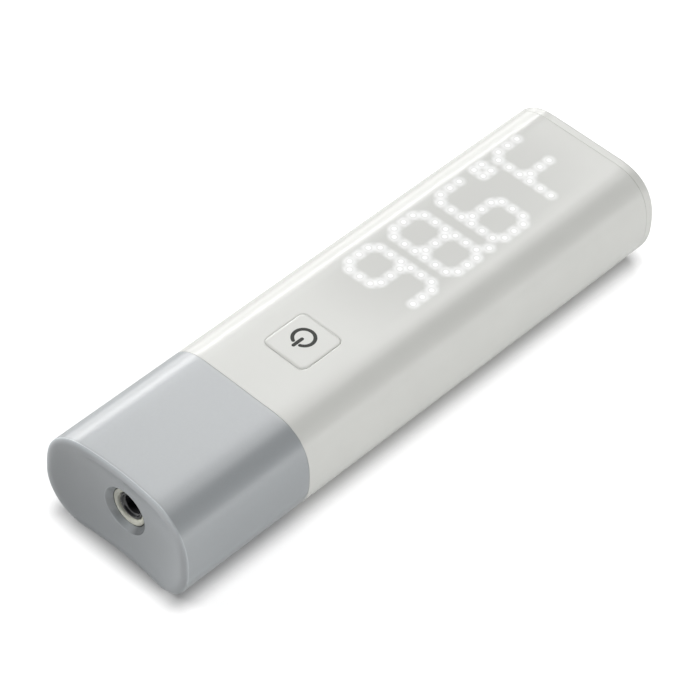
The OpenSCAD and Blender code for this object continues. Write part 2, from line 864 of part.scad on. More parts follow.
module bridge_contact() {
  x = bridge_x - contact_t;
  color("#c9ccd0")
    union() {
      block(
        [x, -cell_y - contact_w / 2, cell_z - contact_h / 2],
        [bridge_x, cell_y + contact_w / 2, cell_z + contact_h / 2]
      );
      leaf(x + 0.05, cell_y, -contact_room);
      rod(cell_x1 + 0.05, x + 0.1, cap_r, -cell_y, cell_z);
    }
}

sleeve();
nose_cap();
tail_cap();
button_cap();
power_icon();
switch_body();
switch_plunger();
chassis();
main_board();
led_emitters();
led_baffle();
diffuser_film();
microcontroller();
inductor();
passive_parts();
vibration_motor();
sensor_ring();
sensor_barrel();
sensor_gasket();
sensor_holder();
sensor_window();
thermopile_can();
sensor_pins();
sensor_board();
sensor_ribbon();
sensor_screws();
chassis_screws();
board_screws();
cell_left();
cell_right();
plus_contact();
minus_contact();
bridge_contact();
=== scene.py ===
"""Looks of a no-touch forehead thermometer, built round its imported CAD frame."""

import json
import math

import bpy
import numpy as np
from mathutils import Matrix, Vector


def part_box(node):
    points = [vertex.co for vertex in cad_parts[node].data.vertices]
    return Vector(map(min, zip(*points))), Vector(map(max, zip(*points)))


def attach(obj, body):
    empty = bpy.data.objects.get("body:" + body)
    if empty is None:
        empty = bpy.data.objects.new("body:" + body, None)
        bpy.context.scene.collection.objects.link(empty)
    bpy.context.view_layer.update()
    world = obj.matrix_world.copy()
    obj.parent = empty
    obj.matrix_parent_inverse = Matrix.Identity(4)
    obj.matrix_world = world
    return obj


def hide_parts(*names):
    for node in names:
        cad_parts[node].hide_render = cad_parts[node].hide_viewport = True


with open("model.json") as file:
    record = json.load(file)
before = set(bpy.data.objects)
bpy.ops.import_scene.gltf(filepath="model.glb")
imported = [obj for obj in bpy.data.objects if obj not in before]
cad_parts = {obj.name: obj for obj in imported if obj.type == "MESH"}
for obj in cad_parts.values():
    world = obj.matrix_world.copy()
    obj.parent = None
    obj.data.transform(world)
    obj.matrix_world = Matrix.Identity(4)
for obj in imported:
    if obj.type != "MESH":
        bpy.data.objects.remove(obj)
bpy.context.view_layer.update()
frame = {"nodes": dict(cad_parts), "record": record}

MM = 0.001


def span(node):
    """Lowest and highest corner of a CAD node, in millimetres."""
    low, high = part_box(node)
    return np.array(low) / MM, np.array(high) / MM


# Places that the frame gives, in millimetres
SLEEVE_LOW, SLEEVE_HIGH = span("sleeve")
NOSE_LOW, NOSE_HIGH = span("nose_cap")
TAIL_LOW, TAIL_HIGH = span("tail_cap")
BUTTON_LOW, BUTTON_HIGH = span("button_cap")
ICON_LOW, ICON_HIGH = span("power_icon")
RING_LOW, RING_HIGH = span("sensor_ring")
BARREL_LOW, BARREL_HIGH = span("sensor_barrel")
BRIDGE_LOW, BRIDGE_HIGH = span("bridge_contact")
CELL_LOW, CELL_HIGH = span("cell_left")
X_NOSE, X_SEAM = NOSE_LOW[0], SLEEVE_LOW[0]
X_TAIL_SEAM, X_TAIL = SLEEVE_HIGH[0], TAIL_HIGH[0]
X_PLUG = TAIL_LOW[0]
X_HOLDER = span("sensor_holder")[0][0]
HALF_WIDTH, TOP = SLEEVE_HIGH[1], SLEEVE_HIGH[2]
BUTTON_MIDDLE = (BUTTON_LOW[:2] + BUTTON_HIGH[:2]) / 2

# Section of the body as in the CAD source: millimetres, and the powers of its two curves
WIDEST_Z = 10.9
SHOULDER_RUN = 11.2
SHOULDER_POWER = 2.6
BELLY_RUN = 9.2
BELLY_POWER = 2
WALL = 1.8
SPIGOT = 1.4
SLIP = 0.1
PLUG_INSET = WALL + SLIP
SEAM_EDGE = 0.12

# Counts of steps in the meshes
ANGLE_STEPS = 4000
SHOULDER_STEPS = 30
BELLY_STEPS = 24
FLAT_STEPS = 26
SEAM_STEPS = 3
ROUND_STEPS = 10
RIM_STEPS = 15
SKIN_RINGS = 12
FACE_RINGS = 26
MOUTH_STEPS = 10
TAIL_STEPS = 9
TURN_STEPS = 96
STEM_STEPS = 48
ICON_STEPS = 60
CAP_STEPS = 9
# Share of the nose's skin before its first ring, and the power that crowds the face's rings to the rim
SKIN_END = 0.04
FACE_CROWDING = 1.6
# Rings of the sleeve, in millimetres: wide steps, close steps under the read-out, and what stays free
WIDE_STEP = 2.5
CLOSE_STEP = 0.7
READOUT_MARGIN = 8
RING_MARGIN = 1
TAIL_MARGIN = 2
# Degrees from which an edge stays sharp
CREASE = 32
RING_CREASE = 40
BARREL_CREASE = 50

# Nose, in millimetres; its rim is an oval round, along the body and inwards
DISH_R = 88
FACE_HOLLOW = 0.75
LOW_HOLLOW = 0.5
NOSE_ROUND = (0.45, 1.4)
NOSE_WALL = 2.4
NOSE_LIP = 3
COLLAR_WIDTH = 2
COLLAR_HEIGHT = 1.6
SENSOR_Z = 12.1
SEAT_R = 4.46
MOUTH_R = 5.4
MOUTH_ROUND = 0.45
WITNESS_LAND = 0.15
WITNESS_DEPTH = 0.025
WITNESS_WIDTH = 0.26
# Share of the way in from the rim over which the face eases into its hollow
FACE_EASE = 0.1

# Painted light and shade on the nose, where 0.5 is its own grey, 1 the painted highlight of the rim
# and 0 the painted shade of the recess
PLAIN_TONE = 0.5
MOUTH_TONE = 0.63
WITNESS_TONE = 0.1
# Places in millimetres, and the values there
TONE_RISE = ((14, 20), (0, 0.065))
TONE_RISE_SIDE = ((4, 9), (1, 0))
RIM_HEIGHT = ((4, 13), (0, 1))
# Places as shares of the half width, or of the mouth's radius, and the values there
TONE_ACROSS = ((-1, 0, 0.6, 1), (0.06, 0, -0.075, -0.17))
RIM_SIDE = ((-0.85, -0.5), (0.5, 1))
MOUTH_SIDE = ((-0.55, -0.05), (0, 1))

# Sensor ring and barrel, in millimetres: steps of their edges as (back, in from the outside)
# or (back, out from the bore)
SEAT_GAP = 0.14
RING_FIT = 0.06
RING_EDGE = ((0.5, 0), (0.1, 0.03), (0.02, 0.12), (0, 0.25))
RING_ROLL = ((0.05, 0.62), (0.12, 0.46), (0.26, 0.29), (0.5, 0.13), (0.8, 0.04), (1.1, 0))
BARREL_OUT = 0.2
BARREL_BORE = 2.1
BARREL_LIP = ((0.3, 0), (0.12, 0.04), (0.03, 0.12), (0, 0.22), (0.04, 0.33), (0.14, 0.42), (0.3, 0.49))
BARREL_STEP = ((0.52, 0.3), (0.58, 0.22), (0.61, 0.12), (0.68, 0.04), (0.85, 0))

# Tail cap, in millimetres
TAIL_ROUND = 0.6
TAIL_FACE_INSETS = (3, 5.5, 8)
PLUG_BEVEL = 0.3
PLUG_INNER_BEVEL = 0.2
BLOCK_GROW = 1
BLOCK_CORNER = 0.4
BLOCK_LAP = 0.2

# Button and power mark, in millimetres, with the half opening of the mark in degrees
BUTTON_LENGTH = 11.7
BUTTON_WIDTH = 11
BUTTON_CORNER = 1.5
BUTTON_GAP = 0.2
BUTTON_FIT = 0.03
BUTTON_SIDE = (BUTTON_GAP - BUTTON_FIT) / 2
OPENING_BELOW, OPENING_ABOVE = 2, 1
# Run and drop of the button's edge and of the lip round its opening
BUTTON_EDGE = (0.75, 0.2)
BUTTON_LIP = (0.5, 0.11)
BUTTON_LAND = 0.3
BUTTON_INSET = 1.4
BUTTON_RIM = 0.9
BUTTON_RIM_GAP = 0.2
BUTTON_PROUD = 0.14
STEM_R = 2.2
STEM_LAP = 0.1
ICON_R = 2.68
ICON_LINE = 0.78
ICON_OPENING = 24
ICON_BAR = (-3.36, -0.12)
ICON_PROUD = 0.01
ICON_SHIFT = (-0.1, -0.07)

# Read-out: middle of each figure back from the tail face, its rise, scale and lean
NINE = (60.73, 0.0, 0.978, 0.027)
EIGHT = (47.28, 0.03, 0.994, 0.018)
SIX = (32.93, 0.13, 1.01, 0.009)
UNIT = (14.55, 0.27, 1.034, 0.0)
POINT_BACK, POINT_DROP = 40.3, 8.51
DEGREE_BACK, DEGREE_RISE = 24.1, 9.12
# Half width of the degree sign, and how many of those its lower dots stand below
DEGREE_STEP = 1.22
DEGREE_DROP = 2.1
# Middle line, size and dots of the figures; a column's middle is a share of the half height
DIGIT_Y = 0.64
DIGIT_WIDTH = 9.3
DIGIT_HEIGHT = 17.4
DOT_PITCH = 2.85
COLUMN_SHARE = 0.482

# Light of a dot through the shell: strengths, and the millimetres over which each fades
GLOW_REACH = 1.92
HALO_LIGHT, HALO_FADE = 0.19, (0.7, GLOW_REACH)
CORE_LIGHT, CORE_FADE = 0.22, (0.3, 0.6)
DIP_DEPTH, DIP_R, DIP_FADE = 0.075, 0.7, (0.04, 0.2)
BRIDGE_LIGHT, BRIDGE_FADE = 0.06, (3.6, 4.5)
GLOW_BLUE = 1.06
FAR_AWAY = 20

# Darker field of the shell round the lit dots: reach and edge in millimetres, rise per dot and tint
SHADE_REACH = 10.6
SHADE_EDGE = (8.5, 12.5)
SHADE_RISE = 0.105
SHADE_TINT = 0.8

# Range that the values of a noise mostly fill, and how far it varies a roughness
NOISE_SPAN = (0.3, 0.7)
GRAIN_SPREAD = 0.08
LINE_SPREAD = 0.25

# Camera, as found from the photograph's outline: degrees and millimetres
IMAGE_PIXELS = 700
SENSOR_WIDTH = 36
FOCAL_PIXELS = 3373.5
CAMERA_AZIMUTH = -50.1345
CAMERA_ELEVATION = 46.3349
CAMERA_ROLL = 4.792
CAMERA_DISTANCE = 687.72
CAMERA_TARGET = (0.007, 2.679, 6.603)
CLIP_METRES = (0.01, 20)

# Floor: half its side and its drop, in metres
FLOOR_SIDE = 3.0
FLOOR_DROP = 0.00003
# Floor tone for light and a darker tone for the camera that deepens its shadow, and the floor's own
# light for the camera and in gloss
FLOOR_TONE = 0.82
FLOOR_SHADE = 0.52
FLOOR_LIFT = 0.8
FLOOR_GLOSS = 0.07
# Painted shadow on the floor: the object's footprint and the reaches in millimetres, and a ramp of the
# open sky
FOOT_LENGTH, FOOT_WIDTH = 133.8, 30.6
SHADOW_FADE = (-1.0, 6.0)
SHADOW_REACH = 5
SHADOW_RAMP = (0.2, 0.6)
SKY_SAMPLES = 16
# Heights between which the studio goes from white to dark
HORIZON = (0.12, 0.4)

# Softboxes: azimuth from +X and elevation in degrees, width and height in metres, power in watts
SOFTBOXES = {
    "back_box": (60, 27, 0.52, 0.34, 1.55),
    "high_box": (40, 47, 0.52, 0.34, 1.75),
    "horizon_box": (60, 8, 0.52, 0.34, 1.15),
    "strip_box": (55, 26.5, 0.4, 0.08, 0.85),
    "low_right_box": (300, 8, 0.52, 0.34, 0.22),
    "crown_box": (12, 56, 0.32, 0.3, 0.57),
}
# Fills light the object without showing in its gloss
FILLS = {
    "left_fill": (120, 27, 0.52, 0.34, 6.25),
    "right_fill": (270, 27, 0.52, 0.34, 5.7),
}
# Metres from the object to each box
BOX_DISTANCE = 1.0


# Shapes

def even_angles(run, rise, power, count):
    """Angles that cut a quarter of a rounded corner into equal lengths."""
    fine = np.linspace(0, math.pi / 2, ANGLE_STEPS)
    y = run * np.cos(fine).clip(0) ** (2 / power)
    z = rise * np.sin(fine).clip(0) ** (2 / power)
    length = np.concatenate([[0], np.cumsum(np.hypot(np.diff(y), np.diff(z)))])
    return np.interp(np.linspace(0, length[-1], count), length, fine)


def quarter(run, rise, power, angles, inset):
    """Quarter of the section as (y, z) from its centre, pushed in along its normal."""
    cos = np.cos(angles).clip(0) ** (2 / power)
    sin = np.sin(angles).clip(0) ** (2 / power)
    normal = np.stack([cos ** (power - 1) / run, sin ** (power - 1) / rise], axis=1)
    normal /= np.linalg.norm(normal, axis=1, keepdims=True)
    return np.stack([run * cos, rise * sin], axis=1) - inset * normal


SHOULDER = (SHOULDER_RUN, TOP - WIDEST_Z, SHOULDER_POWER)
BELLY = (BELLY_RUN, WIDEST_Z, BELLY_POWER)
SHOULDER_ANGLES = even_angles(*SHOULDER, SHOULDER_STEPS)
BELLY_ANGLES = even_angles(*BELLY, BELLY_STEPS)


def section(inset=0):
    """Outline of the body as (y, z) points, from the widest line on +Y up and round."""
    shoulder = quarter(*SHOULDER, SHOULDER_ANGLES, inset) + [HALF_WIDTH - SHOULDER_RUN, 0]
    belly = quarter(*BELLY, BELLY_ANGLES, inset)
    belly = (belly + [HALF_WIDTH - BELLY_RUN, 0]) * [1, -1]
    mirror = np.array([-1, 1])
    across = np.linspace(1, -1, FLAT_STEPS + 1)[1:-1, None]
    top_flat = np.hstack([across * shoulder[-1, 0], 0 * across + shoulder[-1, 1]])
    low_flat = np.hstack([-across * belly[-1, 0], 0 * across + belly[-1, 1]])
    points = np.vstack([
        shoulder, top_flat, shoulder[::-1] * mirror,
        belly[1:] * mirror, low_flat, belly[:0:-1],
    ])
    return points + [0, WIDEST_Z]


def ring_at(x, inset=0):
    """Section of the body at one place along it."""
    points = section(inset)
    return np.column_stack([np.broadcast_to(x, len(points)), points])


def circle_like(points, radius, x):
    """Circle round the sensor axis, its points facing those of a section."""
    out = points - [0, SENSOR_Z]
    out = out / np.linalg.norm(out, axis=1, keepdims=True) * radius + [0, SENSOR_Z]
    return np.column_stack([np.broadcast_to(x, len(out)), out])


def rounded(length, width, radius, grow=0):
    """Rounded rectangle as (x, y) points, grown by a distance."""
    turn = np.linspace(0, math.pi / 2, ROUND_STEPS)
    points = []
    for k, (sx, sy) in enumerate(((1, 1), (-1, 1), (-1, -1), (1, -1))):
        angle = turn + k * math.pi / 2
        points.append(np.column_stack([
            sx * (length / 2 - radius) + (radius + grow) * np.cos(angle),
            sy * (width / 2 - radius) + (radius + grow) * np.sin(angle),
        ]))
    return np.vstack(points)


def quarter_round(radius, steps):
    """Steps of a rounded edge as (inwards, down) from its crown to its side."""
    angle = np.linspace(0, math.pi / 2, steps)
    return [(radius * (1 - math.sin(a)), radius * (1 - math.cos(a))) for a in angle]


def oval_edge(run, drop):
    """Steps of a wide, shallow edge as (inwards, down) from its side to its crown."""
    angle = np.linspace(0, math.pi / 2, ROUND_STEPS)
    return [(run * (1 - math.cos(a)), drop * (1 - math.sin(a))) for a in angle]


def build(name, rings, loop=False):
    """Mesh object over rings of equal length; a loop joins the last ring to the first."""
    rings = [np.asarray(ring, float) for ring in rings]
    n, m = len(rings[0]), len(rings)
    i = np.arange(n)
    step = (i + 1) % n
    faces = []
    for j in range(m if loop else m - 1):
        k = (j + 1) % m
        quads = np.column_stack([j * n + i, j * n + step, k * n + step, k * n + i])
        faces.extend(quads.tolist())
    if not loop:
        faces.append(list(range(n - 1, -1, -1)))
        faces.append(list(range((m - 1) * n, m * n)))
    mesh = bpy.data.meshes.new(name)
    mesh.from_pydata((np.vstack(rings) * MM).tolist(), [], faces)
    mesh.validate()
    face_outwards(mesh)
    piece = bpy.data.objects.new(name, mesh)
    bpy.context.scene.collection.objects.link(piece)
    return piece


def points_of(mesh):
    """Vertices of a mesh, in metres."""
    points = np.empty(3 * len(mesh.vertices))
    mesh.vertices.foreach_get("co", points)
    return points.reshape(-1, 3)


def numbers_of(items, name):
    """One whole number of each item of a mesh."""
    values = np.empty(len(items), int)
    items.foreach_get(name, values)
    return values


def face_outwards(mesh):
    """Turns the faces of a closed mesh so that its volume is positive."""
    mesh.calc_loop_triangles()
    points = points_of(mesh)
    corners = np.empty(3 * len(mesh.loop_triangles), int)
    mesh.loop_triangles.foreach_get("vertices", corners)
    a, b, c = (points[corners.reshape(-1, 3)[:, k]] for k in range(3))
    if np.einsum("ij,ij->i", a, np.cross(b, c)).sum() < 0:
        mesh.flip_normals()


def smooth(piece, crease=CREASE):
    """Shades a piece smoothly, with creases kept and large flats kept flat."""
    piece.data.shade_smooth()
    piece.data.set_sharp_from_angle(angle=math.radians(crease))
    weighted = piece.modifiers.new("weighted_normals", "WEIGHTED_NORMAL")
    weighted.keep_sharp = True


def join(name, parts):
    """One object from several."""
    with bpy.context.temp_override(
            active_object=parts[0], object=parts[0],
            selected_objects=parts, selected_editable_objects=parts):
        bpy.ops.object.join()
    parts[0].name = name
    parts[0].data.name = name
    return parts[0]


def cut(piece, tool):
    """Takes the tool's volume out of a piece."""
    trim = piece.modifiers.new("cut", "BOOLEAN")
    trim.operation = "DIFFERENCE"
    trim.solver = "EXACT"
    trim.object = tool
    settled = piece.evaluated_get(bpy.context.evaluated_depsgraph_get())
    mesh = bpy.data.meshes.new_from_object(settled)
    piece.modifiers.remove(trim)
    bpy.data.objects.remove(tool)
    mesh.name = piece.name
    piece.data = mesh


def lathe(name, profile):
    """Closed ring turned round the sensor axis from (x, radius) points."""
    angle = np.linspace(0, 2 * math.pi, TURN_STEPS, endpoint=False)
    rings = [
        np.column_stack([np.full(TURN_STEPS, x), r * np.cos(angle), SENSOR_Z + r * np.sin(angle)])
        for x, r in profile
    ]
    return build(name, rings, loop=True)


def plan_rings(outline, levels):
    """Rings of a plan outline, one for each (z, grow) level."""
    plans = [(z, outline(grow)) for z, grow in levels]
    return [np.column_stack([plan, np.full(len(plan), z)]) for z, plan in plans]


# Sleeve and button

def button_plan(grow):
    """Outline of the button as (x, y), grown by a distance."""
    return rounded(BUTTON_LENGTH, BUTTON_WIDTH, BUTTON_CORNER, grow) + BUTTON_MIDDLE


def make_sleeve():
    """White sleeve, with rounded ends and the lipped opening of the button."""
    edge = quarter_round(SEAM_EDGE, SEAM_STEPS)
    x_readout = X_TAIL - NINE[0] - READOUT_MARGIN
    along = np.concatenate([
        np.arange(X_SEAM + RING_MARGIN, x_readout - RING_MARGIN, WIDE_STEP),
        np.arange(x_readout, X_TAIL_SEAM - TAIL_MARGIN, CLOSE_STEP),
    ])
    rings = [ring_at(X_SEAM + down, inward) for inward, down in edge]
    rings += [ring_at(x) for x in along]
    rings += [ring_at(X_TAIL_SEAM - down, inward) for inward, down in edge[::-1]]
    rings += [ring_at(X_TAIL_SEAM, WALL), ring_at(X_SEAM, WALL)]
    sleeve = build("sleeve_shell", rings, loop=True)
    side = BUTTON_GAP - BUTTON_SIDE
    opening = [(TOP - WALL - OPENING_BELOW, side)]
    opening += [(TOP - down, side + inward) for inward, down in oval_edge(*BUTTON_LIP)]
    opening.append((TOP + OPENING_ABOVE, side + BUTTON_LIP[0]))
    cut(sleeve, build("opening_tool", plan_rings(button_plan, opening)))
    smooth(sleeve)
    return sleeve


def make_button():
    """Button cap with its rounded edge, the rim behind the wall and the stem."""
    rim_grow = (BUTTON_HIGH[0] - BUTTON_LOW[0] - BUTTON_LENGTH) / 2
    face = TOP + BUTTON_PROUD
    rim_low = TOP - WALL - BUTTON_RIM_GAP - BUTTON_RIM
    rim_high = rim_low + BUTTON_RIM
    levels = [(rim_low, rim_grow), (rim_high, rim_grow), (rim_high, BUTTON_SIDE)]
    levels += [(face - down, BUTTON_SIDE - inward) for inward, down in oval_edge(*BUTTON_EDGE)]
    levels += [(face, BUTTON_SIDE - BUTTON_EDGE[0] - BUTTON_LAND), (face, -BUTTON_INSET)]
    cap = build("button_shell", plan_rings(button_plan, levels))
    turn = np.linspace(0, 2 * math.pi, STEM_STEPS, endpoint=False)
    circle = np.column_stack([np.cos(turn), np.sin(turn)]) * STEM_R + BUTTON_MIDDLE
    stem = [
        np.column_stack([circle, np.full(len(circle), z)])
        for z in (BUTTON_LOW[2], rim_low + STEM_LAP)
    ]
    button = join("button_shell", [cap, build("stem", stem)])
    smooth(button)
    return button


def make_icon():
    """Power mark: an open ring and a bar, both with round ends, printed on the button."""
    line = ICON_LINE / 2
    mid = ICON_R - line
    centre = np.array([ICON_HIGH[0] - ICON_R, (ICON_LOW[1] + ICON_HIGH[1]) / 2]) + ICON_SHIFT
    end = math.pi - math.radians(ICON_OPENING)
    sweep = np.linspace(end, -end, ICON_STEPS)
    path = mid * np.column_stack([np.cos(sweep), np.sin(sweep)]) + centre
    bar = np.array([[ICON_BAR[0] + line, 0], [ICON_BAR[1] - line, 0]]) + centre
    ring = build("icon_ring", stroke_rings(path, line))
    piece = join("power_mark", [ring, build("icon_bar", stroke_rings(bar, line))])
    smooth(piece)
    return piece


def stroke_rings(path, half):
    """Rings of a printed line of round ends that follows (x, y) points."""
    run = np.gradient(path, axis=0)
    run /= np.linalg.norm(run, axis=1, keepdims=True)
    side = np.column_stack([-run[:, 1], run[:, 0]]) * half
    turn = np.linspace(math.pi / 2, -math.pi / 2, CAP_STEPS)[1:-1]

    def cap(end, ahead, left):
        return [end + math.cos(a) * ahead * half + math.sin(a) * left for a in turn]

    outline = np.vstack([
        path + side, cap(path[-1], run[-1], side[-1]),
        (path - side)[::-1], cap(path[0], -run[0], -side[0]),
    ])
    face = TOP + BUTTON_PROUD + ICON_PROUD
    return [np.column_stack([outline, np.full(len(outline), z)]) for z in (ICON_LOW[2], face)]


# Nose and sensor

def dish(points):
    """Place of the hollow nose face along the body, at (y, z) points."""
    edge = section(NOSE_ROUND[1]) - [0, WIDEST_Z]
    rim = (edge ** 2).sum(axis=1).max()
    off = points - [0, WIDEST_Z]
    sphere = np.sqrt(DISH_R ** 2 - (off ** 2).sum(axis=1)) - math.sqrt(DISH_R ** 2 - rim)
    return X_NOSE + sphere + LOW_HOLLOW * (off[:, 1].clip(max=0) / WIDEST_Z) ** 2


def skin_rings(face_x):
    """Rings of the nose from its seam along the skin to the witness line behind the rim."""
    start_x = face_x + NOSE_ROUND[0]
    witness_x = start_x + WITNESS_LAND
    seam = quarter_round(SEAM_EDGE, SEAM_STEPS)
    rings = [ring_at(X_SEAM - down, inward) for inward, down in seam]
    for share in np.linspace(SKIN_END, 1 - SKIN_END, SKIN_RINGS):
        rings.append(ring_at(X_SEAM + (start_x - X_SEAM) * share))
    rings.append(ring_at(witness_x + 1.5 * WITNESS_WIDTH))
    rings.append(ring_at(witness_x + WITNESS_WIDTH))
    rings.append(ring_at(witness_x + WITNESS_WIDTH / 2, WITNESS_DEPTH))
    rings.append(ring_at(witness_x))
    return rings


def rim_rings(face_x):
    """Rings of the nose's rounded rim, from the skin to the face."""
    along, inwards = NOSE_ROUND
    return [
        ring_at(face_x + along * (1 - math.cos(a)), inwards * (1 - math.sin(a)))
        for a in np.linspace(math.pi / 2, 0, RIM_STEPS)
    ]


def face_rings(edge, face_x):
    """Rings of the hollow nose face, and of the countersink round the sensor."""
    depth = RING_LOW[0] - dish(np.array([[MOUTH_R, SENSOR_Z]]))[0] - FACE_HOLLOW
    slope = math.atan2(depth, MOUTH_R - SEAT_R)
    reach = MOUTH_ROUND * math.tan(slope / 2)
    brim = circle_like(edge, MOUTH_R + reach, 0)[:, 1:]
    face, mouth = [], []
    for share in np.linspace(0, 1, FACE_RINGS)[1:] ** FACE_CROWDING:
        points = edge + (brim - edge) * share
        fall = dish(points) + FACE_HOLLOW * share * (2 - share) - face_x
        x = face_x + fall * (1 - math.exp(-share / FACE_EASE))
        face.append(np.column_stack([x, points]))
    crown_x = dish(brim) + FACE_HOLLOW
    for a in np.linspace(0, slope, MOUTH_STEPS)[1:]:
        radius = MOUTH_R + reach - MOUTH_ROUND * math.sin(a)
        mouth.append(circle_like(edge, radius, crown_x + MOUTH_ROUND * (1 - math.cos(a))))
    mouth.append(circle_like(edge, SEAT_R, RING_LOW[0]))
    return face, mouth


def inner_rings(edge):
    """Rings inside the nose: seat of the sensor, its collar, the wall and the spigot."""
    collar_x = X_HOLDER - COLLAR_HEIGHT
    lip_x = X_SEAM - NOSE_LIP
    return [
        circle_like(edge, SEAT_R, X_HOLDER),
        circle_like(edge, SEAT_R + COLLAR_WIDTH, X_HOLDER),
        circle_like(edge, SEAT_R + COLLAR_WIDTH, collar_x),
        ring_at(collar_x, NOSE_WALL),
        ring_at(lip_x, NOSE_WALL),
        ring_at(lip_x, PLUG_INSET + SPIGOT),
        ring_at(NOSE_HIGH[0], PLUG_INSET + SPIGOT),
        ring_at(NOSE_HIGH[0], PLUG_INSET),
        ring_at(X_SEAM, PLUG_INSET),
    ]


def make_nose():
    """Grey nose cap: skin, rounded rim, hollow face, countersink, and its spigot inside."""
    edge = section(NOSE_ROUND[1])
    face_x = dish(edge)
    skin, rim, inside = skin_rings(face_x), rim_rings(face_x), inner_rings(edge)
    face, mouth = face_rings(edge, face_x)
    nose = build("nose_shell", skin + rim + face + mouth + inside, loop=True)
    # Painted highlight and painted shade of every ring, stored on each point
    tones = [
        skin_tones(edge, len(skin)), rim_tones(edge, face[0]), [face_tone(ring) for ring in face],
        mouth_tones(edge, len(mouth)), np.full((len(inside), len(edge)), PLAIN_TONE),
    ]
    layer = nose.data.attributes.new("painted_light_and_shade", "FLOAT", "POINT")
    layer.data.foreach_set("value", np.vstack(tones).ravel())
    smooth(nose)
    return nose


def near_side(edge):
    """Share of the rim's light, less on the -Y side of the nose."""
    return np.interp(edge[:, 0] / HALF_WIDTH, *RIM_SIDE)


def skin_tones(edge, count):
    """Tone of the skin's rings: plain, with painted shade in the witness line except on the -Y side.
    """
    tone = np.full((count, len(edge)), PLAIN_TONE)
    # painted shade in the witness groove
    tone[-2] -= WITNESS_TONE * (2 * near_side(edge) - 1)
    return tone


def rim_tones(edge, first_face_ring):
    """Tone of the rim's rings: a painted highlight on its upper side, meeting the face's painted
    shading at its inner end.
    """
    pale = near_side(edge) * np.interp(edge[:, 1], *RIM_HEIGHT) * (1 - PLAIN_TONE)
    drift = face_tone(first_face_ring) - PLAIN_TONE
    fade = np.cos(np.linspace(0, math.pi / 2, RIM_STEPS))[:, None] ** 2
    return PLAIN_TONE + fade * pale + (1 - fade) * drift


def face_tone(ring):
    """Painted light and shade of a ring of the nose face: a painted highlight at its top, painted
    shade on its +Y side.
    """
    y, z = ring[:, 1], ring[:, 2]
    rise = np.interp(z, *TONE_RISE) * np.interp(y, *TONE_RISE_SIDE)
    return PLAIN_TONE + np.interp(y / HALF_WIDTH, *TONE_ACROSS) + rise


def mouth_tones(edge, count):
    """Painted light and shade of the countersink's rings: painted shade on the -Y side, a slight
    painted highlight elsewhere.
    """
    aside = circle_like(edge, 1, 0)[:, 1]
    # painted shade on the -Y side of the recess, painted highlight elsewhere
    return np.tile(MOUTH_TONE * np.interp(aside, *MOUTH_SIDE), (count, 1))


def make_ring():
    """Cream ring round the sensor: a flat band that rolls over into its bore."""
    front, back = RING_LOW[0], RING_HIGH[0]
    outer = SEAT_R - SEAT_GAP
    inner = BARREL_HIGH[1] + RING_FIT
    profile = [(front + behind, outer - inwards) for behind, inwards in RING_EDGE]
    profile += [(front + behind, inner + out) for behind, out in RING_ROLL]
    profile += [(back, inner), (back, outer)]
    ring = lathe("sensor_bezel", profile)
    smooth(ring, RING_CREASE)
    return ring


def make_barrel():
    """Black sensor barrel: a rounded lip, a cone inside it, a step and the bore."""
    front, back = BARREL_LOW[0] - BARREL_OUT, BARREL_HIGH[0]
    outer = BARREL_HIGH[1]
    profile = [(front + behind, outer - inwards) for behind, inwards in BARREL_LIP]
    profile += [(front + behind, BARREL_BORE + out) for behind, out in BARREL_STEP]
    profile += [(back, BARREL_BORE), (back, outer)]
    barrel = lathe("sensor_tube", profile)
    smooth(barrel, BARREL_CREASE)
    return barrel


# Tail

def make_tail():
    """Pull-off tail cap with its plug and the block that carries the bridge contact."""
    rings = [
        ring_at(X_TAIL_SEAM, PLUG_INSET + SPIGOT),
        ring_at(X_PLUG + PLUG_BEVEL, PLUG_INSET + SPIGOT),
        ring_at(X_PLUG, PLUG_INSET + SPIGOT - PLUG_INNER_BEVEL),
        ring_at(X_PLUG, PLUG_INSET + PLUG_BEVEL),
        ring_at(X_PLUG + PLUG_BEVEL, PLUG_INSET),
        ring_at(X_TAIL_SEAM, PLUG_INSET),
    ]
    seam = quarter_round(SEAM_EDGE, SEAM_STEPS)
    rings += [ring_at(X_TAIL_SEAM + down, inward) for inward, down in seam]
    end = quarter_round(TAIL_ROUND, TAIL_STEPS)
    rings += [ring_at(X_TAIL - down, inward) for inward, down in end[::-1]]
    rings += [ring_at(X_TAIL, inset) for inset in TAIL_FACE_INSETS]
    cap = build("tail_shell", rings)
    middle = (BRIDGE_LOW + BRIDGE_HIGH) / 2
    size = BRIDGE_HIGH - BRIDGE_LOW
    plan = rounded(size[1], size[2] + BLOCK_GROW, BLOCK_CORNER)
    block = [
        np.column_stack([np.full(len(plan), x), plan + middle[1:]])
        for x in (BRIDGE_HIGH[0], X_TAIL_SEAM + BLOCK_LAP)
    ]
    tail = join("tail_shell", [cap, build("bridge_block", block)])
    smooth(tail)
    return tail


# Read-out

def figure(place, strokes):
    """Dots of a figure, three to a stroke, as (x, y) in millimetres."""
    back, rise, scale, lean = place
    steps = np.array([-1, 0, 1]) * DOT_PITCH
    half_w, half_h = DIGIT_WIDTH / 2, DIGIT_HEIGHT / 2
    column = COLUMN_SHARE * half_h
    places = {
        "top": (steps, half_h + 0 * steps),
        "middle": (steps, 0 * steps),
        "bottom": (steps, -half_h + 0 * steps),
        "upper_left": (-half_w + 0 * steps, column + steps),
        "upper_right": (half_w + 0 * steps, column + steps),
        "lower_left": (-half_w + 0 * steps, -column + steps),
        "lower_right": (half_w + 0 * steps, -column + steps),
    }
    dots = np.vstack([np.column_stack(places[stroke]) for stroke in strokes]) * scale
    dots[:, 0] -= lean * dots[:, 1]
    return dots + [X_TAIL - back, DIGIT_Y + rise]


